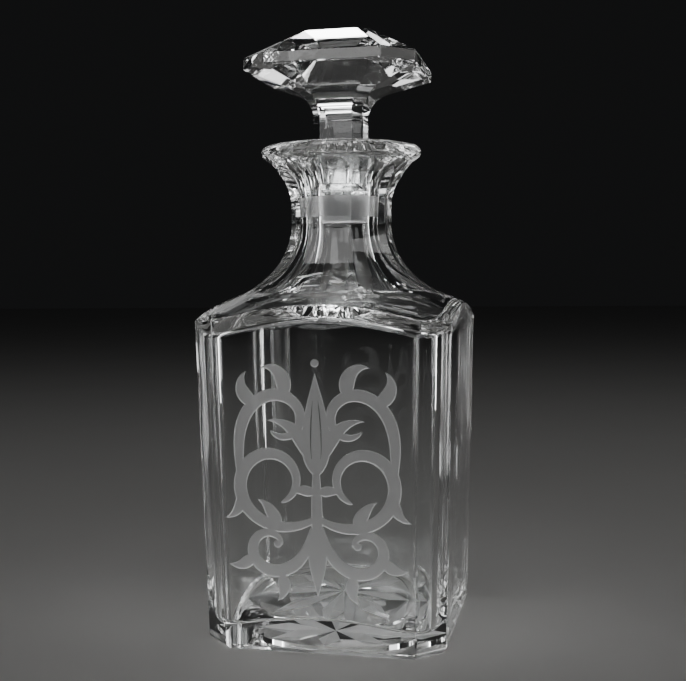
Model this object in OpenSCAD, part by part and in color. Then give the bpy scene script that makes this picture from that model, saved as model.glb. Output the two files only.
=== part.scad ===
// Square cut-crystal decanter with a faceted ground stopper.
// Two pieces of glass: the bottle, and the stopper that lifts out of its neck.
// The origin is on the standing surface, on the axis of the neck; +Z is up and a flat face looks along -Y.

/* [Body] */
// Width across two opposite walls, where they meet the shoulder
body_top_w = 98; // [88:1:120]
// Width across two opposite walls at the foot
body_foot_w = 92; // [76:1:120]
// Height of the upright corners, from the foot to the shoulder
corner_h = 123.7; // [90:0.1:170]
// How far each corner cut reaches along a wall
corner_cut = 10; // [5:0.5:14]
// Bevel around the foot
foot_bevel = 2.2; // [0.5:0.1:3]
// Thickness of the four walls
wall = 5.5; // [3.5:0.5:8]
// Thickness of glass behind the cut corners
corner_wall = 4.6; // [3:0.2:8]
// Thickness of the base at its middle
base_t = 16.7; // [12:0.1:24]
// How far the inner floor falls from its middle to its corners
floor_fall = 9.5; // [2:0.5:10]
// Width of the shallow ground recess under the base
recess_d = 66; // [30:1:72]
// Depth of that recess
recess_deep = 1; // [0.4:0.1:2]

/* [Shoulder and neck] */
// Slope of the shoulder above the horizontal, in degrees
shoulder_slope = 23.5; // [15:0.5:35]
// Thickness of the shoulder, measured upright
shoulder_t = 7.5; // [4:0.5:9]
// Radius of the round throat
throat_r = 22; // [21:0.5:26]
// Radius of the sweep from the shoulder into the throat
throat_sweep = 31; // [24:1:40]
// Upright stretch of the throat
throat_h = 8; // [4:0.5:16]
// Radius of the flare from the throat into the lip
flare_r = 23; // [16:1:26]
// Distance from the axis to the middle of a neck panel
panel_r = 18.8; // [16:0.2:20]
// Radius of the wheel that hollows the lower end of a panel
wheel_low = 30; // [25:0.5:34]
// Radius of the wheel that hollows the upper end of a panel
wheel_high = 22; // [18:0.5:24]
// Upright stretch of a panel between the two wheel cuts
panel_h = 6; // [3:0.5:12]

/* [Lip] */
// Diameter of the lip
lip_d = 64; // [56:1:76]
// Height of the lip above the end of the flare
lip_h = 5.5; // [4.5:0.1:10]
// Radius of the rounded edge
lip_edge = 2.3; // [1:0.1:3]
// Radius of the funnel that leads into the socket
funnel_r = 14; // [9:0.5:15]

/* [Ground joint] */
// Diameter of the plug at its top
plug_d = 23.8; // [22:0.1:28]
// Length of the ground plug
plug_l = 16.5; // [12:0.5:18]
// Change of diameter per unit of length
joint_taper = 0.1; // [0.06:0.01:0.14]
// Gap between plug and socket, on the radius
joint_gap = 0.05; // [0.02:0.01:0.1]
// Radius of the rounded lower end of the plug
plug_round = 2; // [0.5:0.5:4]

/* [Stopper] */
// Width of the square stem across its flats
stem_w = 19.4; // [15:0.2:21]
// Length of the stem between the plug and the cove
stem_l = 24.8; // [18:0.2:36]
// Radius of the hollow cove that widens the stem into the head
cove_r = 12.5; // [8:0.5:16]
// Slope of the underside of the head, in degrees
underside_slope = 21; // [12:1:30]
// Width of the head across its flats
head_w = 67; // [56:1:84]
// Height of the upright band round the head
girdle_h = 4.3; // [2.5:0.1:7]
// Height of the sloping facets above the band
crown_h = 11.2; // [7:0.2:16]
// Width of the flat table on top
table_w = 30; // [22:1:40]
// Share of the half-width that each corner facet takes
corner_share = 0.33; // [0.2:0.01:0.5]

/* [Hidden] */
$fn = 96;

glass_tint = [0.80, 0.86, 0.88, 0.55];
far = 200;
lap = 1;
arc_steps = 8;

// Outer shoulder line: it passes through the top of the upright corners.
corner_r = norm([body_top_w / 2, body_top_w / 2 - corner_cut]);
rise = tan(shoulder_slope);
function shoulder_z(r) = corner_h + (corner_r - r) * rise;

// Places up the neck, each from the one below it.
sweep_end_r = throat_r + throat_sweep * (1 - sin(shoulder_slope));
throat_z = shoulder_z(sweep_end_r) + throat_sweep * cos(shoulder_slope);
flare_z = throat_z + throat_h;
flare_turn = 45;
flare_end = [throat_r + flare_r * (1 - cos(flare_turn)), flare_z + flare_r * sin(flare_turn)];
lip_r = lip_d / 2;
lip_top = flare_end[1] + lip_h;

// Ground joint, measured down from the funnel.
socket_top_r = plug_d / 2 + joint_gap;
socket_top_z = lip_top - funnel_r;
plug_end_r = (plug_d - plug_l * joint_taper) / 2;
plug_end_z = socket_top_z - plug_l;
bore_r = plug_end_r + joint_gap;

// Inner sweep: it runs from the bore out to the underside of the shoulder.
inner_sweep_end_r = bore_r + throat_sweep * (1 - sin(shoulder_slope));
inner_sweep_z = min(plug_end_z, shoulder_z(inner_sweep_end_r) - shoulder_t
                                + throat_sweep * cos(shoulder_slope));

// Stopper levels.
cove_z = socket_top_z + stem_l;
cove_end = [stem_w / 2 + cove_r * (1 - sin(underside_slope)), cove_z + cove_r * cos(underside_slope)];
girdle_z = cove_end[1] + (head_w / 2 - cove_end[0]) * tan(underside_slope);
table_z = girdle_z + girdle_h + crown_h;
// Distance to a corner facet, for each unit of distance to a straight one.
corner_reach = (2 - corner_share) / sqrt(2);

// Points of an arc round c from angle a to angle b.
function arc(c, r, a, b, steps = arc_steps) =
    [for (i = [0:steps]) let (t = a + (b - a) * i / steps) c + r * [cos(t), sin(t)]];

// Outline in [distance from the axis, height] made symmetrical about the axis.
function both_sides(pts) =
    concat(pts, [for (i = [len(pts) - 1:-1:0]) [-pts[i][0], pts[i][1]]]);

// A slab of the given outline, facing along X and turned round the axis.
module slab(pts, turn) {
    rotate([0, 0, turn]) rotate([90, 0, 0])
        linear_extrude(height = far, center = true) polygon(both_sides(pts));
}

// Distance from the axis to a wall, and to the face of a corner cut, at height z.
wall_reach = function(z) (body_foot_w + (body_top_w - body_foot_w) * z / corner_h) / 2;
cut_reach = function(z) (2 * wall_reach(z) - corner_cut) / sqrt(2);
room_reach = function(z) wall_reach(z) - wall;

// Opposite pairs of leaning sides, one pair for each turn; reach gives their distance from the axis.
module sides(turns, reach, low, high, bevel = 0) {
    bevel_top = low + bevel;
    intersection_for (turn = turns)
        slab(concat(bevel > 0 ? [[reach(bevel_top) - bevel, low]] : [],
                    [[reach(bevel_top), bevel_top], [reach(high), high]]), turn);
}

// Round blank of the bottle: shoulder, throat, flare and rounded lip.
module blank() {
    outer_r = corner_r + 4;
    edge_c = [lip_r - lip_edge, lip_top - lip_edge];
    rotate_extrude()
        polygon(concat([[0, -lap], [outer_r, -lap], [outer_r, shoulder_z(outer_r)]],
                       arc([throat_r + throat_sweep, throat_z], throat_sweep, 270 - shoulder_slope, 180),
                       arc([throat_r + flare_r, flare_z], flare_r, 180, 180 - flare_turn),
                       arc(edge_c, lip_edge, -flare_turn, 90),
                       [[0, lip_top]]));
}

// Cutter for one neck panel: upright in the middle, hollowed out by a wheel at each end.
module panel_cutter(turn) {
    low_c = [panel_r + wheel_low, throat_z];
    high_c = [panel_r + wheel_high, throat_z + panel_h];
    rotate([0, 0, turn]) rotate([90, 0, 0])
        linear_extrude(height = 2 * corner_r, center = true)
            polygon(concat(arc(low_c, wheel_low, 270, 180), arc(high_c, wheel_high, 180, 90)));
}

// Everything that is hollow: the square cavity, the bore, the ground socket and the funnel.
module cavity() {
    floor_low = base_t - floor_fall;
    floor_r = cut_reach(floor_low) - corner_wall;
    ceiling_r = cut_reach(corner_h) - corner_wall;
    dome_r = (floor_r * floor_r + floor_fall * floor_fall) / (2 * floor_fall);
    dome_turn = asin(floor_r / dome_r);
    sweep_c = [bore_r + throat_sweep, inner_sweep_z];
    funnel_c = [socket_top_r + funnel_r, socket_top_z];
    intersection() {
        rotate_extrude()
            polygon(concat(arc([0, base_t - dome_r], dome_r, 90, 90 - dome_turn, 5),
                           [[ceiling_r, shoulder_z(ceiling_r) - shoulder_t]],
                           arc(sweep_c, throat_sweep, 270 - shoulder_slope, 180),
                           [[bore_r, plug_end_z], [socket_top_r, socket_top_z]],
                           arc(funnel_c, funnel_r, 180 - 90 / arc_steps, 90, arc_steps - 1),
                           [[funnel_c[0], lip_top + lap], [0, lip_top + lap]]));
        sides([0, 90], room_reach, floor_low - lap, lip_top + 2 * lap);
    }
}

// The bottle: a square block under a round shoulder, with eight hollowed panels cut up the neck.
module bottle() {
    color(glass_tint)
        difference() {
            intersection() {
                sides([0, 90], wall_reach, 0, lip_top + lap, foot_bevel);
                sides([45, 135], cut_reach, 0, lip_top + lap, foot_bevel);
                blank();
            }
            for (i = [0:7]) panel_cutter(45 * i);
            cavity();
            translate([0, 0, -lap]) cylinder(d = recess_d, h = recess_deep + lap);
        }
}

// Outline of the stopper's stem and head, from the plug up, with every width times share.
function head_outline(share) =
    [for (p = concat([[stem_w / 2, socket_top_z - lap]],
                     arc([stem_w / 2 + cove_r, cove_z], cove_r, 180, 90 + underside_slope),
                     [[head_w / 2, girdle_z], [head_w / 2, girdle_z + girdle_h], [table_w / 2, table_z]]))
        [p[0] * share, p[1]]];

// The stopper: a round ground plug under a solid head with cut corners.
module stopper() {
    round_c = [plug_end_r - plug_round, plug_end_z + plug_round];
    color(glass_tint)
        union() {
            rotate_extrude()
                polygon(concat([[0, plug_end_z]],
                               arc(round_c, plug_round, 270, 360, 4),
                               [[plug_d / 2, socket_top_z], [0, socket_top_z]]));
            intersection() {
                intersection_for (turn = [0, 90]) slab(head_outline(1), turn);
                intersection_for (turn = [45, 135]) slab(head_outline(corner_reach), turn);
            }
        }
}

bottle();
stopper();
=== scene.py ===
"""Looks of a square cut-crystal decanter with a faceted ground stopper.

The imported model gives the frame: two bodies, the bottle and the stopper that lifts out of it. This script
builds the finished glass around them as closed shells. Lengths are in millimetres until a shell becomes a
mesh, where they turn into metres. +Z is up, the etched front wall looks along -Y.
"""

import logging
import math
from collections.abc import Callable
from dataclasses import dataclass, field
from enum import Enum

import bmesh
import bpy
import numpy as np
from mathutils import Matrix, Vector
from mathutils.geometry import delaunay_2d_cdt

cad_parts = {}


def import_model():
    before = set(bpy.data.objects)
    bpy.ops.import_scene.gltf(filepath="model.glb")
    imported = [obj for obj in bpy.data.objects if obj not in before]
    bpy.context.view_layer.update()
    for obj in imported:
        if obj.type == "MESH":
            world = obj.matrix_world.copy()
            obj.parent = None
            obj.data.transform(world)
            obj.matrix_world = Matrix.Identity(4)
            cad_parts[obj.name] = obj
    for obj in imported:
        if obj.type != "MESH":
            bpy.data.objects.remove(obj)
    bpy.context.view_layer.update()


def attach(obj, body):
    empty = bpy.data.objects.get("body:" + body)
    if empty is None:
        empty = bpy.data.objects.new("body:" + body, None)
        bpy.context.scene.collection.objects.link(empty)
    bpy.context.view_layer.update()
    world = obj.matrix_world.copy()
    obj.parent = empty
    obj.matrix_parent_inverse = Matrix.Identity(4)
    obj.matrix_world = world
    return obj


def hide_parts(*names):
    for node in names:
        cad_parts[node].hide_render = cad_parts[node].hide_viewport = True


LOG = logging.getLogger("decanter")
# A millimetre, and the distance within which points are welded, both in metres
MM = 0.001
MERGE = 2e-6
# Angle in degrees above which an edge is shaded as a sharp one
CREASE = 9.0
# Directions round the axis, in degrees: the front wall, and the step from a wall to a corner cut
FRONT = -90.0
OCTANT = 45.0
HALF = OCTANT / 2
# Refractive index of the crystal
INDEX = 1.545


# ---------------------------------------------------------------- shader nodes


class Wire:
    """One output of a node, with the arithmetic that a material needs.

    Numbers meet numbers in Math nodes; colours and vectors go through the tree's own methods.
    """

    def __init__(self, tree: "Tree", socket: bpy.types.NodeSocket) -> None:
        """Keeps the socket and the tree that it belongs to."""
        self.tree = tree
        self.socket = socket

    def _math(self, operation: str, left: object, right: object) -> "Wire":
        """Adds a Math node for the operation on two values."""
        return self.tree.node("ShaderNodeMath", {"operation": operation}, {0: left, 1: right})

    def __add__(self, other: object) -> "Wire":
        """Sum."""
        return self._math("ADD", self, other)

    def __radd__(self, other: object) -> "Wire":
        """Sum with a number on the left."""
        return self._math("ADD", other, self)

    def __mul__(self, other: object) -> "Wire":
        """Product."""
        return self._math("MULTIPLY", self, other)

    def __rmul__(self, other: object) -> "Wire":
        """Product with a number on the left."""
        return self._math("MULTIPLY", other, self)

    def above(self, edge: float, width: float) -> "Wire":
        """A soft step from 0 to 1.

        Args:
            edge: Value at the middle of the step.
            width: How far the step reaches from 0 to 1.

        Returns:
            The step of this wire.
        """
        settings = {"interpolation_type": "SMOOTHSTEP"}
        ends = {1: edge - width / 2, 2: edge + width / 2}
        return self.tree.node("ShaderNodeMapRange", settings, {0: self, **ends})


class Tree:
    """A material's node tree around one Principled shader."""

    def __init__(self, name: str) -> None:
        """Makes the material and finds its shader and its output.

        Args:
            name: The material's name.
        """
        self.material = bpy.data.materials.new(name)
        self.material.use_nodes = True
        self.nodes = self.material.node_tree.nodes
        self.links = self.material.node_tree.links
        self.shader = self.nodes["Principled BSDF"]

    def node(self, kind: str, settings: dict, inputs: dict, output: object = 0) -> Wire:
        """Adds any node.

        Args:
            kind: The node's type.
            settings: Properties of the node, set before its sockets.
            inputs: Values or wires, by socket name or number.
            output: Name or number of the output that is wanted.

        Returns:
            The wanted output as a wire.
        """
        made = self.nodes.new(kind)
        for key, value in settings.items():
            setattr(made, key, value)
        for key, value in inputs.items():
            self._feed(made.inputs[key], value)
        return Wire(self, made.outputs[output])

    def _feed(self, socket: bpy.types.NodeSocket, value: object) -> None:
        """Links a wire to a socket, or sets the socket's own value.

        Args:
            socket: The input to feed.
            value: A wire, a number or a colour.
        """
        if isinstance(value, Wire):
            self.links.new(value.socket, socket)
        else:
            socket.default_value = value

    def place(self, scale: tuple[float, float, float] = (1, 1, 1)) -> Wire:
        """Object coordinates, stretched by scale."""
        where = self.node("ShaderNodeTexCoord", {}, {}, "Object")
        return self.node("ShaderNodeMapping", {}, {"Vector": where, "Scale": scale})

    def noise(self, where: Wire, scale: float, detail: float = 2.0, rough: float = 0.5) -> Wire:
        """Noise between 0 and 1 with about scale features in a metre."""
        inputs = {"Vector": where, "Scale": scale, "Detail": detail, "Roughness": rough}
        return self.node("ShaderNodeTexNoise", {"noise_dimensions": "3D"}, inputs, 0)

    def blend(self, share: object, first: tuple, second: tuple) -> Wire:
        """Mixes two colours.

        Args:
            share: Number or wire: 0 gives the first colour, 1 the second.
            first: Red, green and blue.
            second: Red, green and blue.

        Returns:
            The mixed colour.
        """
        made = self.nodes.new("ShaderNodeMix")
        made.data_type = "RGBA"
        self._feed(made.inputs["Factor"], share)
        colours = [s for s in made.inputs if s.type == "RGBA"]
        colours[0].default_value = (*first, 1)
        colours[1].default_value = (*second, 1)
        return Wire(self, [s for s in made.outputs if s.type == "RGBA"][0])

    def bump(self, height: Wire, depth: float, strength: float = 1.0) -> None:
        """Feeds the shader's normal from a height; depth is the height of 1, in metres."""
        inputs = {"Height": height, "Distance": depth, "Strength": strength}
        self._feed(self.shader.inputs["Normal"], self.node("ShaderNodeBump", {}, inputs))

    def set(self, **values: object) -> None:
        """Sets or feeds the shader's sockets; an underscore in a name stands for a blank."""
        for key, value in values.items():
            self._feed(self.shader.inputs[key.replace("_", " ")], value)


# ---------------------------------------------------------------- finishes


@dataclass(frozen=True)
class Crystal:
    """Clear lead crystal: nearly colourless, high index, a polish with faint handling marks."""

    name: str = "clear_crystal"
    clean: tuple[float, float, float] = (0.985, 0.993, 0.992)
    smeared: tuple[float, float, float] = (0.962, 0.975, 0.975)
    polish: float = 0.004
    smear: float = 0.018
    ripple: float = 0.00003

    def material(self) -> bpy.types.Material:
        """Builds the material: faint smears in roughness and a slow ripple in the normal.

        Returns:
            The material.
        """
        tree = Tree(self.name)
        smear = tree.noise(tree.place((1, 1, 0.35)), 70, 3, 0.6).above(0.62, 0.2)
        grain = tree.noise(tree.place(), 900, 2)
        tree.set(
            Base_Color=tree.blend(smear, self.clean, self.smeared),
            Roughness=self.polish + smear * self.smear * grain,
            IOR=INDEX,
            Transmission_Weight=1.0,
        )
        tree.bump(tree.noise(tree.place((1, 1, 0.3)), 45, 1), self.ripple)
        return tree.material


@dataclass(frozen=True)
class Frost:
    """Glass whose surface was broken up: acid-etched, ground or satin-cut.

    The tone runs from tone - spread to tone in clouds that stretch draws out along the axis. The roughness
    is rough, less or plus grit.
    """

    name: str
    clear: float
    rough: float
    tone: float
    grain: float = 2600.0
    depth: float = 0.00004
    spread: float = 0.06
    stretch: float = 1.0
    grit: float = 0.06

    def material(self) -> bpy.types.Material:
        """Builds the material: cloudy tone, fine grain in roughness and normal.

        Returns:
            The material.
        """
        tree = Tree(self.name)
        cloud = tree.noise(tree.place((1, 1, self.stretch)), 130, 4, 0.6)
        grain = tree.noise(tree.place(), self.grain, 2, 0.7)
        low = self.tone - self.spread
        tree.set(
            Base_Color=tree.blend(cloud, (low, low * 1.005, low * 1.01), (self.tone,) * 3),
            Roughness=self.rough - self.grit + cloud * self.grit + grain * self.grit,
            IOR=INDEX,
            Transmission_Weight=self.clear,
        )
        tree.bump(grain, self.depth, 0.6)
        return tree.material


class Finish(Enum):
    """The finishes of the object; the value is the slot number on every piece."""

    CLEAR = 0
    ETCHED = 1
    GROUND = 2
    SATIN = 3
    RIM = 4


def finish_materials() -> list[bpy.types.Material]:
    """Builds one material for each finish.

    Returns:
        Materials in slot order.
    """
    return [
        Crystal().material(),
        Frost("etched_crystal", clear=0.76, rough=0.55, tone=0.84).material(),
        Frost("ground_crystal", clear=0.9, rough=0.34, tone=0.95, spread=0.3, stretch=0.12).material(),
        Frost("satin_cut_crystal", clear=0.5, rough=0.4, tone=0.98).material(),
        Frost("etched_rim_crystal", clear=0.5, rough=0.42, tone=0.97).material(),
    ]


# ---------------------------------------------------------------- shells


class Shell:
    """Collects grids and triangles and makes one closed, welded mesh of them."""

    def __init__(self) -> None:
        """Starts empty."""
        self.points: list[np.ndarray] = []
        self.faces: list[list[int]] = []
        self.slots: list[int] = []
        self.count = 0

    def grid(
        self, points: np.ndarray, finish: Finish = Finish.CLEAR, keep: np.ndarray | None = None
    ) -> None:
        """Adds a grid of quads.

        Args:
            points: Array of rows, columns and 3 coordinates.
            finish: Finish of every face.
            keep: For each quad, whether it is wanted; all are when it is left out.
        """
        rows, columns = points.shape[:2]
        index = self.count + np.arange(rows * columns).reshape(rows, columns)
        quads = np.stack([index[:-1, :-1], index[:-1, 1:], index[1:, 1:], index[1:, :-1]], -1)
        quads = quads[keep] if keep is not None else quads.reshape(-1, 4)
        self._take(points.reshape(-1, 3), quads, finish)

    def mesh(self, points: np.ndarray, faces: np.ndarray, finish: Finish) -> None:
        """Adds faces that index their own points."""
        self._take(points, faces + self.count, finish)

    def _take(self, points: np.ndarray, faces: np.ndarray, finish: Finish) -> None:
        """Stores points and faces.

        Args:
            points: Array of points, in millimetres.
            faces: Corners of each face, counted over all the shell's points.
            finish: Finish of every face.
        """
        self.points.append(points)
        self.faces.extend(faces.tolist())
        self.slots.extend([finish.value] * len(faces))
        self.count += len(points)

    def build(self, name: str, materials: list, blunt: Callable, width: float) -> bpy.types.Object:
        """Welds the parts and makes the object.

        Args:
            name: Name of the piece.
            materials: Materials in slot order.
            blunt: Says of an edge whether it gets a narrow flat.
            width: Width that the flat takes of each face, in millimetres.

        Returns:
            The object, at the origin, in metres.
        """
        data = bpy.data.meshes.new(name)
        data.from_pydata((np.concatenate(self.points) * MM).tolist(), [], self.faces)
        for material in materials:
            data.materials.append(material)
        data.polygons.foreach_set("material_index", self.slots)
        work = bmesh.new()
        work.from_mesh(data)
        bmesh.ops.remove_doubles(work, verts=work.verts, dist=MERGE)
        bmesh.ops.dissolve_degenerate(work, edges=work.edges, dist=MERGE)
        bmesh.ops.recalc_face_normals(work, faces=work.faces)
        loose = sum(1 for edge in work.edges if len(edge.link_faces) != 2)
        if work.calc_volume(signed=True) < 0:
            bmesh.ops.reverse_faces(work, faces=work.faces)
        edges = [edge for edge in work.edges if blunt(edge)]
        bmesh.ops.bevel(
            work, geom=edges, offset=width * MM, segments=1, affect="EDGES", clamp_overlap=True
        )
        volume = work.calc_volume(signed=True)
        work.to_mesh(data)
        work.free()
        data.shade_smooth()
        data.set_sharp_from_angle(angle=math.radians(CREASE))
        piece = bpy.data.objects.new(name, data)
        bpy.context.scene.collection.objects.link(piece)
        LOG.info("%s: %d faces, %d open edges, %.1f ml", name, len(data.polygons), loose, volume * 1e6)
        return piece


def arc(centre: tuple, radius: float, start: float, end: float, steps: int) -> np.ndarray:
    """Points of an arc: centre plus radius times (cos a, sin a) for a from start to end, in degrees."""
    turn = np.radians(np.linspace(start, end, steps + 1))
    return np.array(centre) + radius * np.stack([np.cos(turn), np.sin(turn)], -1)


def polar(angle: np.ndarray, radius: np.ndarray, height: np.ndarray) -> np.ndarray:
    """Points (radius cos a, radius sin a, height), where the three arrays broadcast.

    Args:
        angle: Angles in degrees.
        radius: Distances from the axis.
        height: Heights.

    Returns:
        Array of points.
    """
    turn = np.radians(angle)
    x, y, z = np.broadcast_arrays(radius * np.cos(turn), radius * np.sin(turn), height)
    return np.stack([x, y, z], -1)


def to_the_left(outline: np.ndarray) -> np.ndarray:
    """Turns a closed outline so that its inside is on the left: its signed area is then above zero.

    Args:
        outline: Points of the outline.

    Returns:
        The same points, in their own or the opposite order.
    """
    after = np.roll(outline, -1, 0)
    area = np.sum(outline[:, 0] * after[:, 1] - outline[:, 1] * after[:, 0])
    return outline if area > 0 else outline[::-1]


def soften(
    before: np.ndarray, corner: np.ndarray, after: np.ndarray, reach: float, steps: int
) -> np.ndarray:
    """Rounds a corner with a quadratic curve.

    The curve is (1-t)^2 A + 2t(1-t) C + t^2 B, where A and B lie reach away from the corner C towards the
    neighbours. In each array the last axis is the coordinate.

    Args:
        before: Neighbours on the near side.
        corner: Corners to round.
        after: Neighbours on the far side.
        reach: How far from the corner the curve starts and ends.
        steps: Number of steps along the curve.

    Returns:
        Array with a new first axis of steps + 1 points.
    """
    start = before - corner
    end = after - corner
    start = corner + reach * start / np.linalg.norm(start, axis=-1, keepdims=True)
    end = corner + reach * end / np.linalg.norm(end, axis=-1, keepdims=True)
    t = np.linspace(0, 1, steps + 1).reshape(-1, *[1] * corner.ndim)
    return (1 - t) ** 2 * start + 2 * t * (1 - t) * corner + t**2 * end


def hollow(near: float, radius: float, off: np.ndarray) -> np.ndarray:
    """Reach to a hollow arc, near at its deepest: near + radius - sqrt(radius^2 - off^2)."""
    return near + radius - np.sqrt(np.maximum(radius**2 - off**2, 0))


def columns_round(corner: float, face_steps: int, cut_steps: int) -> np.ndarray:
    """Angles of the columns of an eight-sided section, once round from the middle of the front.

    Args:
        corner: Angle between the middle of a straight face and its corner.
        face_steps: Steps from that middle to the corner.
        cut_steps: Steps from the corner to the middle of the corner cut.

    Returns:
        Angles in degrees; the last one closes the round.
    """
    cut = np.linspace(corner, OCTANT, cut_steps + 1)[1:]
    eighth = np.concatenate([np.linspace(0, corner, face_steps + 1), cut])
    quarter = np.concatenate([eighth[:-1], 2 * OCTANT - eighth[::-1]])[:-1]
    return np.concatenate([quarter + 2 * OCTANT * k for k in range(4)] + [[360.0]]) + FRONT


# ---------------------------------------------------------------- sizes shared by both pieces


@dataclass(frozen=True)
class Sizes:
    """Driving dimensions of the decanter and the levels that follow from them."""

    body_top_w: float = 98.0
    body_foot_w: float = 92.0
    corner_h: float = 123.7
    corner_cut: float = 10.0
    foot_bevel: float = 2.2
    wall: float = 5.5
    base_t: float = 16.7
    floor_fall: float = 9.5
    recess_r: float = 33.0
    recess_deep: float = 1.0
    shoulder_slope: float = 23.5
    shoulder_t: float = 7.5
    throat_r: float = 22.0
    throat_sweep: float = 31.0
    throat_h: float = 8.0
    flare_r: float = 23.0
    flare_turn: float = 45.0
    panel_r: float = 18.8
    wheel_low: float = 30.0
    wheel_high: float = 22.0
    panel_h: float = 6.0
    lip_r: float = 32.0
    lip_h: float = 5.5
    lip_edge: float = 2.3
    funnel_r: float = 14.0
    plug_r: float = 11.9
    plug_l: float = 16.5
    joint_taper: float = 0.1
    joint_gap: float = 0.05
    plug_round: float = 2.0
    ground_from: float = 2.6
    ground_to: float = 11.2
    stem_r: float = 9.7
    stem_l: float = 24.8
    cove_r: float = 12.5
    underside_slope: float = 21.0
    head_r: float = 33.5
    girdle_h: float = 4.3
    crown_h: float = 11.2
    table_r: float = 15.0
    corner_share: float = 0.33

    @property
    def lean(self) -> float:
        """Outward lean of a wall, for each millimetre of height."""
        return (self.body_top_w - self.body_foot_w) / 2 / self.corner_h

    @property
    def rise(self) -> float:
        """Rise of the shoulder, for each millimetre towards the axis."""
        return math.tan(math.radians(self.shoulder_slope))

    @property
    def corner_r(self) -> float:
        """Distance from the axis to the top of an upright corner."""
        half = self.body_top_w / 2
        return math.hypot(half, half - self.corner_cut)

    def shoulder_z(self, r: np.ndarray | float) -> np.ndarray | float:
        """Height of the shoulder's cone at distance r from the axis."""
        return self.corner_h + (self.corner_r - r) * self.rise

    @property
    def sweep_w(self) -> float:
        """Width of the sweep from the cone of the shoulder to the upright throat."""
        return self.throat_sweep * (1 - math.sin(math.radians(self.shoulder_slope)))

    @property
    def sweep_h(self) -> float:
        """Height of that sweep."""
        return self.throat_sweep * math.cos(math.radians(self.shoulder_slope))

    @property
    def sweep_end_r(self) -> float:
        """Where the cone of the shoulder meets the sweep into the throat."""
        return self.throat_r + self.sweep_w

    @property
    def throat_z(self) -> float:
        """Height at which the throat becomes upright."""
        return self.shoulder_z(self.sweep_end_r) + self.sweep_h

    @property
    def flare_z(self) -> float:
        """Height at which the throat starts to flare."""
        return self.throat_z + self.throat_h

    @property
    def lip_top(self) -> float:
        """Height of the top of the lip."""
        return self.flare_z + self.flare_r * math.sin(math.radians(self.flare_turn)) + self.lip_h

    @property
    def socket_top_z(self) -> float:
        """Height at which the funnel becomes the ground socket."""
        return self.lip_top - self.funnel_r

    @property
    def plug_end_r(self) -> float:
        """Radius of the plug at its lower end."""
        return self.plug_r - self.plug_l * self.joint_taper / 2

    @property
    def plug_end_z(self) -> float:
        """Height of the plug's lower end when it is seated."""
        return self.socket_top_z - self.plug_l

    @property
    def ground_low_z(self) -> float:
        """Lower end of the ground belt on plug and socket."""
        return self.plug_end_z + self.ground_from

    @property
    def ground_top_z(self) -> float:
        """Upper end of the ground belt."""
        return self.plug_end_z + self.ground_to

    def plug_width(self, z: np.ndarray) -> np.ndarray:
        """Radius of the plug's cone at height z."""
        return self.plug_r - (self.socket_top_z - z) * self.joint_taper / 2


# ---------------------------------------------------------------- etched ornament


class Tip(Enum):
    """How the width of a stroke runs: from its start to its end."""

    CURL = "curl"
    LEAF = "leaf"


@dataclass(frozen=True)
class Stroke:
    """One curl or leaf of the ornament.

    The spine starts at a point on the wall, and its heading turns by bend_in degrees for each millimetre
    at the start, changing evenly to bend_out at the end. Points are (sideways, up) in millimetres.
    """

    start: tuple[float, float]
    heading: float
    length: float
    bend_in: float
    bend_out: float
    width: float
    tip: Tip = Tip.CURL

    def spine(self, steps: int) -> tuple[np.ndarray, np.ndarray, np.ndarray]:
        """The curve of growing bend: its points are the running sum of unit steps along the heading.

        Args:
            steps: Number of steps along the curve.

        Returns:
            Shares of the length, the points, and the unit normals on the left side.
        """
        t = np.linspace(0, 1, steps + 1)
        run = t * self.length
        grow = (self.bend_out - self.bend_in) / 2 / self.length
        angle = np.radians(self.heading + self.bend_in * run + grow * run**2)
        ahead = np.stack([np.cos(angle), np.sin(angle)], -1)
        middle = (ahead[1:] + ahead[:-1]) / 2
        points = np.vstack([[0, 0], np.cumsum(middle, 0)]) * self.length / steps + self.start
        return t, points, np.stack([-ahead[:, 1], ahead[:, 0]], -1)

    def outline(self, trim: float = 0.0) -> np.ndarray:
        """A closed outline: half the width times a share to each side of the spine, less trim.

        A curl's share is 0.45 + 0.55 sin(pi t^0.8), rounded off over the last tenth. A leaf's share is
        sin(pi t^0.62), so it is fullest before its middle and ends in a point.

        Args:
            trim: How far the outline is drawn in on each side.

        Returns:
            Points of the outline.
        """
        t, points, normal = self.spine(16 + int(self.length))
        if self.tip is Tip.CURL:
            share = 0.45 + 0.55 * np.sin(math.pi * t**0.8)
            share = share * np.sqrt(1 - np.clip((t - 0.9) / 0.1, 0, 1) ** 2)
        else:
            share = np.sin(math.pi * t**0.62)
        half = self.width / 2 * share - trim
        wide = (half > 0) | ((trim == 0) & (t == 1))
        points, normal, half = points[wide], normal[wide], half[wide, None]
        ends = slice(None, -1) if trim == 0 else slice(None)
        return np.vstack([(points + normal * half), (points - normal * half)[ends][::-1]])

    def vein(self, side: float, thick: float) -> np.ndarray:
        """A slim outline beside the middle of the leaf, between 0.14 and 0.74 of its length.

        Its distance from the middle is side times the leaf's own share, and its width is thick times
        sin(pi (t - 0.1) / 0.68).

        Args:
            side: Distance from the spine where the leaf is fullest, below 0 for the right side.
            thick: Greatest width.

        Returns:
            Points of the outline.
        """
        t, points, normal = self.spine(30)
        inside = (t > 0.14) & (t < 0.74)
        middle = points[inside] + normal[inside] * side * np.sin(math.pi * t[inside] ** 0.62)[:, None]
        half = (thick / 2 * np.sin(math.pi * (t[inside] - 0.1) / 0.68))[:, None]
        return np.vstack([middle + normal[inside] * half, (middle - normal[inside] * half)[::-1]])


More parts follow.
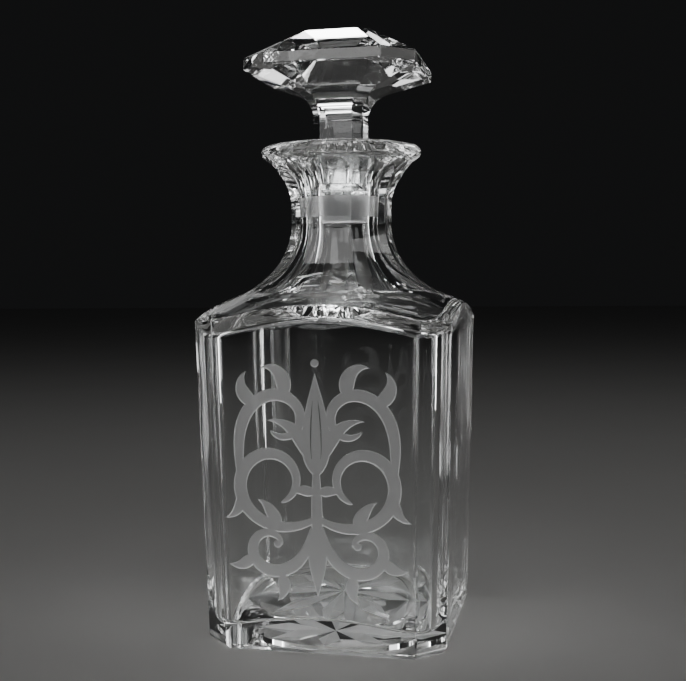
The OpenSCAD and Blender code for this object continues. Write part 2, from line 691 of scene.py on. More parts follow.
@dataclass(frozen=True)
class Ornament:
    """Acid-etched scrollwork on the front wall: a tall palmette between scrolls that form a lyre."""

    depth: float = 0.25
    rim_w: float = 0.32
    vein_w: float = 0.5
    pearl_r: float = 1.5
    curls: tuple[Stroke, ...] = (
        Stroke((1.0, 51.0), -30, 82, 2.2, 6.9, 5.0),
        Stroke((28.9, 65.5), 88, 69, -0.6, 10.0, 4.8),
        Stroke((1.5, 47.5), -78, 54, 1.0, 11.6, 4.8),
    )
    leaves: tuple[Stroke, ...] = (
        Stroke((28.5, 60.5), -95, 13, 5.0, 8.0, 4.4, Tip.LEAF),
        Stroke((22.5, 93.5), 22, 15, 5.0, 11.0, 5.4, Tip.LEAF),
        Stroke((14.0, 48.5), 50, 13, 4.0, -9.0, 5.0, Tip.LEAF),
        Stroke((14.0, 30.0), -120, 11, 6.0, 9.0, 4.8, Tip.LEAF),
        Stroke((24.5, 37.0), -60, 11, 6.0, 9.0, 4.6, Tip.LEAF),
        Stroke((1.0, 72.0), 66, 25, 0.0, -6.0, 6.0, Tip.LEAF),
        Stroke((1.0, 60.5), 30, 9, -6.0, -9.0, 4.0, Tip.LEAF),
        Stroke((12.5, 96.0), 112, 17, -5.0, -11.0, 5.8, Tip.LEAF),
    )
    middle: tuple[Stroke, ...] = (
        Stroke((0.0, 67.0), 90, 38, 0, 0, 11.0, Tip.LEAF),
        Stroke((0.0, 36.0), 90, 38, 0, 0, 4.2, Tip.CURL),
        Stroke((0.0, 45.0), -90, 23, 0, 0, 7.0, Tip.LEAF),
    )
    pearls: tuple[tuple[float, float], ...] = ((0.0, 108.5), (15.0, 41.5))

    def outlines(self) -> tuple[list[np.ndarray], list[np.ndarray], list[np.ndarray]]:
        """Draws the strokes and their mirror images.

        Returns:
            Outlines of what is etched, of its flat bottom, and of the veins that stay clear.
        """
        side = self.curls + self.leaves
        turn = np.linspace(0, 2 * math.pi, 20, endpoint=False)
        ring = self.pearl_r * np.stack([np.cos(turn), np.sin(turn)], -1)
        flip = np.array([-1.0, 1.0])
        layers = []
        for trim in (0.0, self.rim_w):
            layer = [stroke.outline(trim) for stroke in side]
            layer += [ring * (1 - trim / self.pearl_r) + pearl for pearl in self.pearls]
            layer += [outline * flip for outline in layer]
            layers.append(layer + [stroke.outline(trim) for stroke in self.middle])
        tall = self.middle[0]
        veins = [tall.vein(part * tall.width / 2, self.vein_w) for part in (-0.36, 0.36)]
        return layers[0], layers[1], veins


# ---------------------------------------------------------------- bottle


@dataclass
class Bottle:
    """The square bottle: leaning walls, cut corners, round shoulder, octagonal throat and a broad lip.

    The steps count columns, and the rows count rows of the neck. An edge is blunted by edge where its faces
    turn by more than edge_angle and it lies within touch of a face. The fillet of the floor starts towards
    the point of the dome at floor_aim of its radius. The swirl is the slight wave of the inner walls: its
    height, its waves once round, and the two lengths over which it changes upwards.
    """

    sizes: Sizes
    ornament: Ornament = field(default_factory=Ornament)
    wall_steps: int = 17
    cut_steps: int = 3
    panel_steps: int = 5
    scan_rows: int = 4000
    run_out_rows: int = 22
    low_rows: int = 18
    high_rows: int = 14
    run_out_from: float = 0.02
    edge: float = 0.35
    edge_angle: float = 20.0
    touch: float = 0.2
    foot_ring_r: float = 40.0
    inner_power: float = 8.0
    inner_crowd: float = 0.15
    floor_fillet: float = 2.6
    floor_aim: float = 0.8
    ceiling_fillet: float = 1.8
    fillet_steps: int = 18
    swirl: float = 0.12
    swirl_waves: int = 3
    swirl_lengths: tuple[float, float] = (17.0, 11.0)
    rays: int = 8
    ray_widest: float = 19.0
    ray_half: float = 4.4
    ray_to: float = 31.5
    ray_slope: float = 0.5

    def wall_reach(self, z: np.ndarray | float) -> np.ndarray | float:
        """Distance from the axis to a wall at height z."""
        return self.sizes.body_foot_w / 2 + self.sizes.lean * z

    def columns(self) -> np.ndarray:
        """Finds the angles of the body's columns.

        Returns:
            Angles in degrees, with one on each corner.
        """
        half = self.sizes.body_top_w / 2
        corner = math.degrees(math.atan2(half - self.sizes.corner_cut, half))
        return columns_round(corner, self.wall_steps, self.cut_steps)

    def _face_place(self) -> tuple[np.ndarray, np.ndarray, np.ndarray]:
        """Finds the face that each column is on.

        Returns:
            Whether it is a wall, the angle of the face, and the column's share of the face's half width.
        """
        per_wall = self.wall_steps
        per_cut = self.cut_steps
        index = np.arange(8 * (per_wall + per_cut) + 1)
        quarter = 2 * (per_wall + per_cut)
        step = (index + per_wall) % quarter - per_wall
        turn = (index - step) // quarter
        on_wall = step <= per_wall
        share = np.where(on_wall, step / per_wall, (step - per_wall - per_cut) / per_cut)
        angle = np.where(on_wall, 2 * OCTANT * turn, 2 * OCTANT * turn + OCTANT) + FRONT
        return on_wall, angle, share

    def ring(self, z_reach: float, inset: float, z: float) -> np.ndarray:
        """The eight-sided outline at one height.

        A point is reach along its face's normal plus share times the face's half width sideways, where the
        half width follows from the distance of the neighbouring faces.

        Args:
            z_reach: Height at which the walls' distance is taken.
            inset: How far every face is moved in.
            z: Height of the points.

        Returns:
            One point for each column.
        """
        on_wall, angle, share = self._face_place()
        wall = self.wall_reach(z_reach) - inset
        cut = (2 * self.wall_reach(z_reach) - self.sizes.corner_cut) / math.sqrt(2) - inset
        wall_half = math.sqrt(2) * cut - wall
        cut_half = math.sqrt(2) * wall - cut
        reach = np.where(on_wall, wall, cut)
        side = share * np.where(on_wall, wall_half, cut_half)
        turn = np.radians(angle)
        x = reach * np.cos(turn) - side * np.sin(turn)
        y = reach * np.sin(turn) + side * np.cos(turn)
        return np.stack([x, y, np.full_like(x, z)], -1)

    def arch(self) -> np.ndarray:
        """Edge between the walls and the shoulder.

        A face stands at a + b z and the cone at z = h - r rise, so along a column that is off the face's
        normal by f the radius is (a + b h) / (cos f + b rise).

        Returns:
            One point for each column.
        """
        s = self.sizes
        on_wall, angle, _ = self._face_place()
        columns = self.columns()
        top = s.corner_h + s.corner_r * s.rise
        base = np.where(on_wall, s.body_foot_w / 2, (s.body_foot_w - s.corner_cut) / math.sqrt(2))
        lean = np.where(on_wall, s.lean, math.sqrt(2) * s.lean)
        radius = (base + lean * top) / (np.cos(np.radians(columns - angle)) + lean * s.rise)
        return polar(columns, radius, top - radius * s.rise)

    def blank_radius(self, z: np.ndarray) -> np.ndarray:
        """Radius of the round blank: cone, hollow sweep, upright throat, flare, then the lip's edge.

        Args:
            z: Heights.

        Returns:
            The radius at each height.
        """
        s = self.sizes
        cone = s.corner_r - (z - s.corner_h) / s.rise
        sweep = hollow(s.throat_r, s.throat_sweep, s.throat_z - z)
        flare = hollow(s.throat_r, s.flare_r, z - s.flare_z)
        lip_z = s.lip_top - s.lip_edge
        lip = s.lip_r - s.lip_edge + np.sqrt(np.maximum(s.lip_edge**2 - (z - lip_z) ** 2, 0))
        turn = math.radians(s.flare_turn)
        flare_end = (s.throat_r + s.flare_r * (1 - math.cos(turn)), s.lip_top - s.lip_h)
        lip_start = (s.lip_r - s.lip_edge * (1 - math.cos(turn)), lip_z - s.lip_edge * math.sin(turn))
        slant = np.interp(z, [flare_end[1], lip_start[1]], [flare_end[0], lip_start[0]])
        below = z < s.shoulder_z(s.sweep_end_r)
        return np.select(
            [below, z < s.throat_z, z < s.flare_z, z < flare_end[1], z < lip_start[1]],
            [cone, sweep, s.throat_r, flare, slant],
            lip,
        )

    def panel_reach(self, z: np.ndarray) -> np.ndarray:
        """Distance to a neck panel: upright in the middle, and hollowed by a wheel at each end.

        Args:
            z: Heights.

        Returns:
            The distance at each height.
        """
        s = self.sizes
        low = hollow(s.panel_r, s.wheel_low, s.throat_z - z)
        high = hollow(s.panel_r, s.wheel_high, z - s.throat_z - s.panel_h)
        return np.select([z < s.throat_z, z < s.throat_z + s.panel_h], [low, s.panel_r], high)

    def panel_turn(self, z: np.ndarray) -> np.ndarray:
        """Half the angle that a panel takes at height z, at most half an octant."""
        share = np.clip(self.panel_reach(z) / self.blank_radius(z), math.cos(math.radians(HALF)), 1)
        return np.degrees(np.arccos(share))

    def neck_levels(self) -> np.ndarray:
        """Heights of the neck's rows, close together where the panels run out.

        The rows follow the panel's half angle: it grows as half an octant times sin(u)^0.9.

        Returns:
            Heights from the panels' lower tips to their upper tips.
        """
        s = self.sizes
        lip_low = s.lip_top - s.lip_edge
        low = np.linspace(s.throat_z - s.wheel_low + 0.1, s.throat_z, self.scan_rows)
        high = np.linspace(s.throat_z + s.panel_h, lip_low, self.scan_rows)
        low_turn = self.panel_turn(low)
        high_turn = self.panel_turn(high)
        low_from = low[np.argmax(low_turn > self.run_out_from)]
        high_to = high[len(high) - np.argmax(high_turn[::-1] > self.run_out_from) - 1]
        wanted = HALF * np.sin(np.linspace(0, math.pi / 2, self.run_out_rows)) ** 0.9
        wanted[-1] = HALF - 1e-4
        rise = low[(low >= low_from) & (low_turn < HALF - 1e-6)]
        fall = high[(high <= high_to) & (high_turn < HALF - 1e-6)]
        starts = np.interp(wanted[1:], self.panel_turn(rise), rise)
        ends = np.interp(wanted[1:], self.panel_turn(fall)[::-1], fall[::-1])
        body = np.linspace(starts[-1], s.throat_z, self.low_rows)[1:]
        upper = np.linspace(s.throat_z + s.panel_h, ends.min(), self.high_rows)
        return np.unique(np.concatenate([[low_from], starts, body, upper, ends, [high_to]]))

    def neck_grid(self) -> np.ndarray:
        """Neck with its eight panels.

        In each half octant the first columns lie on the panel, at radius p / cos f, and the others on the
        round blank. Both share the column where panel and blank meet, which moves with the height.

        Returns:
            Grid of points, from the panels' lower tips up.
        """
        levels = self.neck_levels()
        meet = self.panel_turn(levels)
        meet[[0, -1]] = 0.0
        meet[meet > HALF - 2e-4] = HALF
        panel = self.panel_reach(levels)[:, None]
        blank = self.blank_radius(levels)[:, None]
        on_panel = meet[:, None] * np.linspace(0, 1, self.panel_steps + 1)
        steps = (self.wall_steps + self.cut_steps) // 2
        off_panel = meet[:, None] + (HALF - meet[:, None]) * np.linspace(0, 1, steps + 1)[1:]
        flat = np.where(meet[:, None] == 0, blank, panel / np.cos(np.radians(on_panel)))
        round_part = np.where(meet[:, None] == HALF, flat[:, -1:], blank) + 0 * off_panel
        turn = np.hstack([on_panel, off_panel])
        radius = np.hstack([flat, round_part])
        turn = np.hstack([turn, OCTANT - turn[:, -2::-1]])[:, :-1]
        radius = np.hstack([radius, radius[:, -2::-1]])[:, :-1]
        turn = np.hstack([turn + OCTANT * k for k in range(8)] + [turn[:, :1] + 360])
        radius = np.hstack([radius] * 8 + [radius[:, :1]])
        return polar(turn + FRONT, radius, levels[:, None])

    def even(self) -> np.ndarray:
        """Evenly spaced columns, as many as columns() gives."""
        return np.linspace(0, 360, 8 * (self.wall_steps + self.cut_steps) + 1) + FRONT

    def shoulder_grid(self, low_ring: np.ndarray, top_z: float) -> np.ndarray:
        """Cone between the arch and the panels' lower tips, where z follows from the radius.

        Args:
            low_ring: Points of the arch.
            top_z: Height of the panels' lower tips.

        Returns:
            Grid of points, from the arch up.
        """
        s = self.sizes
        low_r = np.hypot(low_ring[:, 0], low_ring[:, 1])
        t = np.linspace(0, 1, 9)[:, None]
        radius = (1 - t) * low_r + t * self.blank_radius(np.array(top_z))
        turn = (1 - t) * self.columns() + t * self.even()
        return polar(turn, radius, s.corner_h + (s.corner_r - radius) * s.rise)

    def lip_profile(self, start_z: float) -> np.ndarray:
        """Outline from the panels' upper tips over the lip's edge to the flat top.

        Args:
            start_z: Height of the panels' upper tips.

        Returns:
            Points (radius, height).
        """
        s = self.sizes
        centre = (s.lip_r - s.lip_edge, s.lip_top - s.lip_edge)
        start = math.degrees(math.asin(np.clip((start_z - centre[1]) / s.lip_edge, -0.999, 1)))
        edge = arc(centre, s.lip_edge, max(start, -s.flare_turn), 90, 20)[1:]
        return np.vstack([[self.blank_radius(np.array([start_z]))[0], start_z], edge])

    def funnel_profile(self) -> np.ndarray:
        """Outline from the flat top down the funnel to the ground socket.

        Returns:
            Points (radius, height).
        """
        s = self.sizes
        centre = (s.plug_r + s.joint_gap + s.funnel_r, s.socket_top_z)
        return np.vstack([[s.lip_r - s.lip_edge, s.lip_top], arc(centre, s.funnel_r, 90, 180, 20)])

    def revolve(self, profile: np.ndarray, ease: np.ndarray | float = 0.0) -> np.ndarray:
        """Turns an outline round the axis.

        Args:
            profile: Points (radius, height).
            ease: How far the columns crowd towards the cavity's corners, from 0 to 1, one value or one a row.

        Returns:
            Grid of points, one row for each point of the outline.
        """
        even = self.even()
        crowd = math.degrees(self.inner_crowd) * np.sin(np.radians(4 * (even - FRONT)))
        turn = even + np.asarray(ease).reshape(-1, 1) * crowd
        return polar(turn, profile[:, :1], profile[:, 1:])

    def dome_z(self, r: np.ndarray) -> np.ndarray:
        """Height of the domed floor at distance r from the axis: the cap of a ball.

        Args:
            r: Distances.

        Returns:
            The height at each distance.
        """
        s = self.sizes
        rim = (s.body_foot_w + 2 * s.lean * s.base_t) / math.sqrt(2) - s.wall * 2
        ball = (rim**2 + s.floor_fall**2) / (2 * s.floor_fall)
        return s.base_t - ball + np.sqrt(ball**2 - r**2)

    def cavity_grid(self, start: tuple[float, float]) -> np.ndarray:
        """Inside of the bottle, from the end of the inner sweep to the middle of the floor.

        Its walls follow a superellipse: the radius is a / (|cos f|^n + |sin f|^n)^(1/n), where a grows with
        the height. Ceiling and floor meet the walls in soft curves.

        Args:
            start: Radius and height of the inner sweep's end.

        Returns:
            Grid of points, from the sweep down.
        """
        s = self.sizes
        turn = self.revolve(np.array([start]), 1.0)[0]
        turn = np.degrees(np.arctan2(turn[:, 1], turn[:, 0]))
        power = self.inner_power
        square = np.abs(np.cos(np.radians(turn))) ** power + np.abs(np.sin(np.radians(turn))) ** power
        square = square ** (1 / power)
        inner = s.body_foot_w / 2 - s.wall
        top = s.corner_h + s.corner_r * s.rise - s.shoulder_t
        ceiling_r = (inner + s.lean * top) / (square + s.lean * s.rise)
        floor_r = (inner + s.lean * s.base_t / 2) / square
        middle_r = floor_r * self.floor_aim
        begin = np.broadcast_to(np.array(start), (len(turn), 2))
        ceiling = np.stack([ceiling_r, top - ceiling_r * s.rise], -1)
        floor = np.stack([floor_r, self.dome_z(floor_r)], -1)
        middle = np.stack([middle_r, self.dome_z(middle_r)], -1)
        high = soften(begin, ceiling, floor, self.ceiling_fillet, self.fillet_steps)
        low = soften(ceiling, floor, middle, self.floor_fillet, self.fillet_steps)
        share = np.linspace(0, 1, 26)[1:-1, None, None]
        walls = high[-1] + (low[0] - high[-1]) * share
        long, short = self.swirl_lengths
        wave = np.sin(np.radians(self.swirl_waves * turn) + walls[..., 1] / long)
        wave = wave * np.sin(walls[..., 1] / short + 1)
        walls[..., 0] += self.swirl * wave * np.sin(math.pi * share[..., 0])
        roof = begin + (high[0] - begin) * np.linspace(0, 1, 10)[:-1, None, None]
        inward = np.linspace(1, 0, 22)[1:, None]
        rim_r, rim_z = low[-1].T
        gap = (rim_z - self.dome_z(rim_r)) * inward**4
        floor_rows = np.stack([rim_r * inward, self.dome_z(rim_r * inward) + gap], -1)
        rows = np.concatenate([roof, high, walls, low, floor_rows])
        return polar(turn, rows[..., 0], rows[..., 1])

    def add_foot(self, shell: Shell) -> None:
        """Adds the bevel round the foot, the flat that it stands on, and the shallow recess with its star.

        Args:
            shell: Shell that takes the faces.
        """
        s = self.sizes
        top = self.ring(s.foot_bevel, 0, s.foot_bevel)
        low = self.ring(s.foot_bevel, s.foot_bevel, 0)
        shell.grid(np.stack([low, top]))
        rim = polar(self.even(), np.array(s.recess_r), np.array(0.0))
        share = np.linspace(0, 1, 6)[:, None, None]
        shell.grid(low + (rim - low) * share)
        step = rim + np.array([0, 0, s.recess_deep])
        shell.grid(np.stack([rim, step]))
        self.add_star(shell, step)

    def add_star(self, shell: Shell, rim: np.ndarray) -> None:
        """Star of V grooves, cut into the recess.

        Each ray is a long diamond: its half width grows evenly from the middle out to ray_widest, and
        shrinks to a point at ray_to. Its depth is the half width times a slope, as one wheel cuts it.

        Args:
            shell: Shell that takes the faces.
            rim: Upper edge of the recess.
        """
        s = self.sizes
        per_ray = (len(rim) - 1) // self.rays
        half = 180 / self.rays
        rows = np.linspace(self.ray_to, 0, 40)
        width = np.interp(rows, [0, self.ray_widest, self.ray_to], [0, self.ray_half, 0])
        start = math.atan2(self.ray_half, self.ray_widest)
        beta = np.degrees(np.where(rows > self.ray_widest, np.arctan2(width, np.maximum(rows, 1)), start))
        beta = beta[:, None]
        offset = (np.arange(len(rim)) + per_ray // 2) % per_ray - per_ray // 2
        inside = per_ray // 4
        count = np.abs(offset)
        outer = (count - inside) / (per_ray // 2 - inside)
        turn = np.where(count <= inside, beta * count / inside, beta + (half - beta) * outer)
        ray = np.round((np.arange(len(rim)) - offset) / per_ray) * 2 * half
        angle = ray + np.sign(offset) * turn + FRONT
        depth = width[:, None] * self.ray_slope * np.clip(1 - count / inside, 0, 1)
        points = polar(angle, rows[:, None], s.recess_deep + depth)
        shell.grid(np.stack([rim, points[0]]))
        cut = (np.maximum(count[:-1], count[1:]) <= inside) & np.ones((len(rows) - 1, 1), bool)
        shell.grid(points, Finish.SATIN, cut)
        shell.grid(points, keep=~cut)

    def add_walls(self, shell: Shell) -> None:
        """Adds the leaning walls and corner cuts; the etched wall is meshed round its ornament.

        Args:
            shell: Shell that takes the faces.
        """
        s = self.sizes
        low = self.ring(s.foot_bevel, 0, s.foot_bevel)
        arch = self.arch()
        keep = np.ones((1, len(low) - 1), bool)
        keep[:, : self.wall_steps] = False
        keep[:, -self.wall_steps :] = False
        shell.grid(np.stack([low, arch]), keep=keep)
        order = np.arange(-self.wall_steps, self.wall_steps + 1) % (len(low) - 1)
        border = np.vstack([low[order], arch[order][::-1]])[:, [0, 2]]
        self.add_etched_wall(shell, border)

    def add_etched_wall(self, shell: Shell, border: np.ndarray) -> None:
        """The front wall with the ornament sunk into it.

        All outlines go into one constrained triangulation. The points of the bottom lie deeper than the
        wall, so the narrow band between an outline and its bottom is a slope.

        Args:
            shell: Shell that takes the faces.
            border: Outline of the wall as (sideways, up).
        """
        etched, bottom, veins = self.ornament.outlines()
        outlines = [to_the_left(outline) for outline in (border, *etched, *bottom, *veins)]
        starts = np.cumsum([0] + [len(outline) for outline in outlines]).tolist()
        loops = [list(range(a, b)) for a, b in zip(starts[:-1], starts[1:])]
        flat = [Vector(point) for point in np.vstack(outlines).tolist()]
        places, _, faces, _, _, origins = delaunay_2d_cdt(flat, [], loops, 1, 1e-5)
        ends = np.cumsum([1, len(etched), len(bottom), len(veins)])
        inside = [
            np.array([any(low <= k < high for k in ids) for ids in origins])
            for low, high in zip(ends[:-1], ends[1:])
        ]
        faces = np.array(faces)
        flat = np.array([tuple(place) for place in places])
        sunk = np.zeros(len(flat), bool)
        sunk[faces[inside[1]]] = True
        sunk[faces[~inside[0]]] = False
        depth = np.where(sunk, self.ornament.depth, 0)
        points = np.stack([flat[:, 0], depth - self.wall_reach(flat[:, 1]), flat[:, 1]], -1)
        shell.mesh(points, faces[~inside[0] | inside[2]], Finish.CLEAR)
        shell.mesh(points, faces[inside[0] & ~inside[1] & ~inside[2]], Finish.RIM)
        shell.mesh(points, faces[inside[1] & ~inside[2]], Finish.ETCHED)

    def outer_edge(self, edge: bmesh.types.BMEdge) -> bool:
        """Finds the long cut edges of the body, which are slightly blunted.

        They lie on a wall or on a corner cut, or on the foot outside of its recess.

        Args:
            edge: Edge of the finished shell.

        Returns:
            Whether it is one of them.
        """
        if any(face.material_index != Finish.CLEAR.value for face in edge.link_faces):
            return False
        middle = (edge.verts[0].co + edge.verts[1].co) / 2 / MM
        reach = self.wall_reach(middle.z)
        wall = max(abs(middle.x), abs(middle.y)) > reach - self.touch
        cut = abs(middle.x) + abs(middle.y) > 2 * reach - self.sizes.corner_cut - 1.5 * self.touch
        foot = middle.z < MM and math.hypot(middle.x, middle.y) > self.foot_ring_r
        return (wall or cut or foot) and edge.calc_face_angle(0) > math.radians(self.edge_angle)

    def build(self, materials: list[bpy.types.Material]) -> bpy.types.Object:
        """Puts the bottle's surfaces together.

        Args:
            materials: Materials in slot order.

        Returns:
            The bottle.
        """
        s = self.sizes
        shell = Shell()
        self.add_foot(shell)
        self.add_walls(shell)
        neck = self.neck_grid()
        shell.grid(self.shoulder_grid(self.arch(), neck[0, 0, 2]))
        shell.grid(neck)
        shell.grid(self.revolve(self.lip_profile(neck[-1, 0, 2])))
        shell.grid(self.revolve(self.funnel_profile()))
        bore = s.plug_end_r + s.joint_gap
        levels = np.array([s.socket_top_z, s.ground_top_z, s.ground_low_z, s.plug_end_z])
        widths = s.plug_width(levels) + s.joint_gap
        socket = self.revolve(np.stack([widths, levels], -1), np.linspace(0, 1, 4))
        shell.grid(socket[:2])
        shell.grid(socket[1:3], Finish.GROUND)
        shell.grid(socket[2:])
        sweep_z = min(s.plug_end_z, s.shoulder_z(bore + s.sweep_w) - s.shoulder_t + s.sweep_h)
        sweep = arc((bore + s.throat_sweep, sweep_z), s.throat_sweep, 180, 270 - s.shoulder_slope, 24)
        sweep = np.vstack([[bore, s.plug_end_z], sweep])
        shell.grid(self.revolve(sweep, 1.0))
        shell.grid(self.cavity_grid(tuple(sweep[-1])))
        return shell.build("cut_glass_bottle", materials, self.outer_edge, self.edge)


# ---------------------------------------------------------------- stopper


@dataclass
class Stopper:
    """The stopper: a round ground plug, and a solid eight-sided head on a hollowed stem."""

    sizes: Sizes
    straight_steps: int = 8
    corner_steps: int = 4
    edge: float = 0.3
    edge_angle: float = 12.0

    def columns(self) -> np.ndarray:
        """Angles of the head's columns; a corner is at (1, 1 - share) of the half width."""
        corner = math.degrees(math.atan2(1 - self.sizes.corner_share, 1))
        return columns_round(corner, self.straight_steps, self.corner_steps)

    def section(self, profile: np.ndarray) -> np.ndarray:
        """Carries an outline up the eight-sided section.

        At an angle f off the nearest straight face the radius is the smaller of s / cos f and
        s (2 - share) / sqrt 2 / cos(45 degrees - f).

        Args:
            profile: Points (distance to a straight face, height).

        Returns:
            Grid of points, one row for each point of the outline.
        """
        columns = self.columns()
        off = np.abs((columns - FRONT + OCTANT) % (2 * OCTANT) - OCTANT)
        straight = 1 / np.cos(np.radians(off))
        corner = (2 - self.sizes.corner_share) / math.sqrt(2) / np.cos(np.radians(OCTANT - off))
        return polar(columns, profile[:, :1] * np.minimum(straight, corner), profile[:, 1:])

    def head_profile(self) -> np.ndarray:
        """Outline of the head from the plug up: stem, cove, underside, girdle, crown and table.

        Returns:
            Points (distance to a straight face, height).
        """
        s = self.sizes
        cove_z = s.socket_top_z + s.stem_l
        cove = arc((s.stem_r + s.cove_r, cove_z), s.cove_r, 180, 90 + s.underside_slope, 16)
        girdle_z = cove[-1, 1] + (s.head_r - cove[-1, 0]) * math.tan(math.radians(s.underside_slope))
        crown_z = girdle_z + s.girdle_h
        table_z = crown_z + s.crown_h
        top = [[s.head_r, girdle_z], [s.head_r, crown_z], [s.table_r, table_z], [0, table_z]]
        return np.vstack([[s.stem_r, s.socket_top_z], cove, top])

    def head_edge(self, edge: bmesh.types.BMEdge) -> bool:
        """Finds the cut edges of the head, above the ground plug.

        Args:
            edge: Edge of the finished shell.

        Returns:
            Whether it is one of them.
        """
        low = min(vert.co.z for vert in edge.verts) / MM
        above = low > self.sizes.socket_top_z + 0.5
        return above and edge.calc_face_angle(0) > math.radians(self.edge_angle)

    def build(self, materials: list[bpy.types.Material]) -> bpy.types.Object:
        """Puts the stopper's surfaces together.

        Args:
            materials: Materials in slot order.

        Returns:
            The stopper.
        """
        s = self.sizes
        shell = Shell()
        shell.grid(self.section(self.head_profile()))
        centre = (s.plug_end_r - s.plug_round, s.plug_end_z + s.plug_round)
        columns = self.columns()
        tip = arc(centre, s.plug_round, -90, 0, 16)
        cone_z = np.array([s.ground_low_z, s.ground_top_z, s.socket_top_z])
        side = np.vstack([tip, np.stack([s.plug_width(cone_z), cone_z], -1)])
        plug = polar(columns, side[:, :1], side[:, 1:])
        middle = polar(columns, np.array(0.0), np.array(s.plug_end_z))
        shell.grid(np.stack([middle, plug[0]]))
        shell.grid(plug[:-1], Finish.GROUND)
        shell.grid(plug[-2:])
        collar = polar(columns, np.array(s.plug_r), np.array(s.socket_top_z))
        shell.grid(np.stack([collar, self.section(self.head_profile()[:1])[0]]))
        return shell.build("cut_glass_stopper", materials, self.head_edge, self.edge)


# ---------------------------------------------------------------- stage


@dataclass(frozen=True)
class Softbox:
    """A rectangular studio light that faces a point on the object's axis, or aside of it.

    Its power is pi times the area times the glow, so lights with one glow look equally bright.
    """

    name: str
    azimuth: float
    distance: float
    height: float
    width: float
    tall: float
    glow: float
    aim: float = 0.12
    aside: float = 0.0
    flagged: bool = True

    def place(self, glassware: bpy.types.Collection) -> None:
        """Adds the light.

        Args:
            glassware: The finished pieces; a flagged light reaches nothing else.
        """
        data = bpy.data.lights.new(self.name, "AREA")
        data.shape = "RECTANGLE"
        data.size = self.width
        data.size_y = self.tall
        data.energy = math.pi * self.glow * self.width * self.tall
        turn = math.radians(self.azimuth)
        across = Vector((math.cos(turn), math.sin(turn), 0)) * self.aside
        out = self.distance
        away = Vector((math.sin(turn) * out, -math.cos(turn) * out, self.height - self.aim))
        light = bpy.data.objects.new(self.name, data)
        light.location = across + away + Vector((0, 0, self.aim))
        light.rotation_euler = (-away).to_track_quat("-Z", "Y").to_euler()
        light.visible_camera = False
        if self.flagged:
            light.light_linking.receiver_collection = glassware
        bpy.context.scene.collection.objects.link(light)


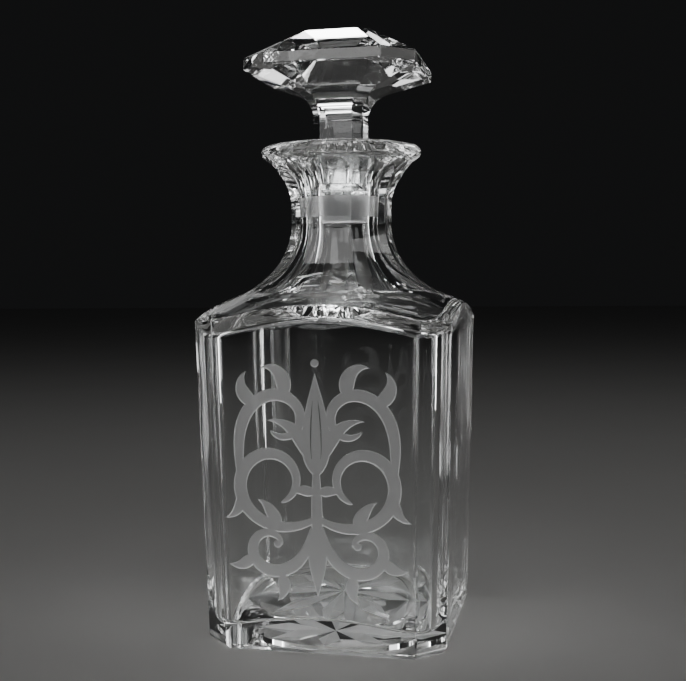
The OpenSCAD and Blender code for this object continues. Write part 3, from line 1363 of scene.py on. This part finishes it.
@dataclass(frozen=True)
class Studio:
    """Camera, lights and floor; dusk is the strength of the even surrounding."""

    azimuth: float = 12.4
    distance: float = 0.4449
    height: float = 0.137
    pitch: float = 2.93
    roll: float = -0.53
    lens: float = 57.76
    floor: float = 12.0
    floor_tones: tuple[tuple[float, float, float], ...] = ((0.72, 0.71, 0.69), (0.78, 0.77, 0.75))
    air_gap: float = 0.0003
    dusk: float = 0.008
    bounces: int = 24
    boxes: tuple[Softbox, ...] = (
        Softbox("left_panel", -75, 0.8, 0.3, 0.4, 0.9, 2.2, 0.14),
        Softbox("left_strip", -88, 0.6, 0.25, 0.05, 0.7, 20.0, 0.14),
        Softbox("right_panel", 96, 0.8, 0.3, 0.4, 0.9, 2.2, 0.14),
        Softbox("right_strip", 108, 0.6, 0.25, 0.05, 0.7, 20.0, 0.14),
        Softbox("side_panel", 38, 1.0, 0.35, 0.4, 0.4, 1.6, 0.12),
        Softbox("front_top_panel", -10, 0.72, 0.75, 0.6, 0.9, 2.6, 0.15),
        Softbox("front_panel", -13, 1.2, 0.345, 0.5, 0.19, 1.4, 0.2),
        Softbox("back_strip", 180, 0.662, 0.958, 0.2, 0.1, 18.0, 0.23, aside=0.23),
        Softbox("back_panel", 180, 1.07, 0.942, 0.125, 0.058, 5.0, 0.23, aside=0.02),
        Softbox("top_panel", 180, 0.2, 0.85, 0.35, 0.3, 10.0, 0.2),
        Softbox("low_left_panel", -156, 1.2, 0.45, 0.24, 0.24, 0.3, 0.02),
        Softbox("low_right_panel", -176, 1.2, 0.45, 0.18, 0.24, 0.3, 0.02),
        Softbox("low_lamp", -163.7, 1.2, 0.44, 0.03, 0.03, 12.0, 0.02),
        Softbox("floor_panel", 20, 0.3, 1.3, 0.6, 0.6, 1.9, 0.0, flagged=False),
    )

    def add_camera(self) -> None:
        """Adds the camera: it faces the axis, looks down by pitch and leans by roll."""
        turn = math.radians(self.azimuth)
        down = math.radians(self.pitch)
        lean = math.radians(self.roll)
        level = Vector((-math.sin(turn), math.cos(turn), 0))
        right = Vector((math.cos(turn), math.sin(turn), 0))
        ahead = level * math.cos(down) - Vector((0, 0, math.sin(down)))
        up = right.cross(ahead)
        side = right * math.cos(lean) + up * math.sin(lean)
        top = up * math.cos(lean) - right * math.sin(lean)
        data = bpy.data.cameras.new("camera")
        data.lens = self.lens
        data.sensor_width = 36
        data.clip_start = 0.01
        camera = bpy.data.objects.new("camera", data)
        spot = Vector((math.sin(turn) * self.distance, -math.cos(turn) * self.distance, self.height))
        frame = Matrix((side, top, -ahead)).transposed()
        camera.matrix_world = Matrix.Translation(spot) @ frame.to_4x4()
        bpy.context.scene.collection.objects.link(camera)
        bpy.context.scene.camera = camera

    def add_floor(self) -> None:
        """Adds the pale floor, a hair below the foot: glass touches a surface at a few points only."""
        half = self.floor / 2
        low = -self.air_gap
        data = bpy.data.meshes.new("floor")
        corners = [(-half, -half, low), (half, -half, low), (half, half, low), (-half, half, low)]
        data.from_pydata(corners, [], [[0, 1, 2, 3]])
        tree = Tree("pale_floor")
        cloud = tree.noise(tree.place(), 6, 3)
        tree.set(Base_Color=tree.blend(cloud, *self.floor_tones), Roughness=0.75)
        data.materials.append(tree.material)
        floor = bpy.data.objects.new("floor", data)
        bpy.context.scene.collection.objects.link(floor)

    def add_world(self) -> None:
        """Adds a dim, even surrounding."""
        world = bpy.data.worlds.new("studio")
        world.use_nodes = True
        background = world.node_tree.nodes["Background"]
        background.inputs["Color"].default_value = (0.95, 0.97, 1, 1)
        background.inputs["Strength"].default_value = self.dusk
        bpy.context.scene.world = world

    def let_light_through(self) -> None:
        """Lets light bounce often enough to leave solid glass after many inner reflections."""
        cycles = bpy.context.scene.cycles
        cycles.max_bounces = self.bounces
        cycles.transmission_bounces = self.bounces
        cycles.glossy_bounces = self.bounces

    def build(self) -> None:
        """Sets the stage."""
        self.add_camera()
        self.add_floor()
        self.add_world()
        self.let_light_through()

    def light(self, pieces: list[bpy.types.Object]) -> None:
        """Adds the lights round the finished pieces.

        Args:
            pieces: The bottle and the stopper.
        """
        glassware = bpy.data.collections.new("glassware")
        for piece in pieces:
            glassware.objects.link(piece)
        for box in self.boxes:
            box.place(glassware)


def main() -> None:
    """Builds the stage and both pieces of glass, and hands each piece to its body."""
    logging.basicConfig(level=logging.INFO, format="%(name)s: %(message)s")
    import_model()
    studio = Studio()
    studio.build()
    sizes = Sizes()
    materials = finish_materials()
    bottle = Bottle(sizes).build(materials)
    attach(bottle, "bottle_body")
    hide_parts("bottle")
    stopper = Stopper(sizes).build(materials)
    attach(stopper, "stopper_body")
    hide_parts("stopper")
    studio.light([bottle, stopper])


if __name__ == "__main__":
    main()
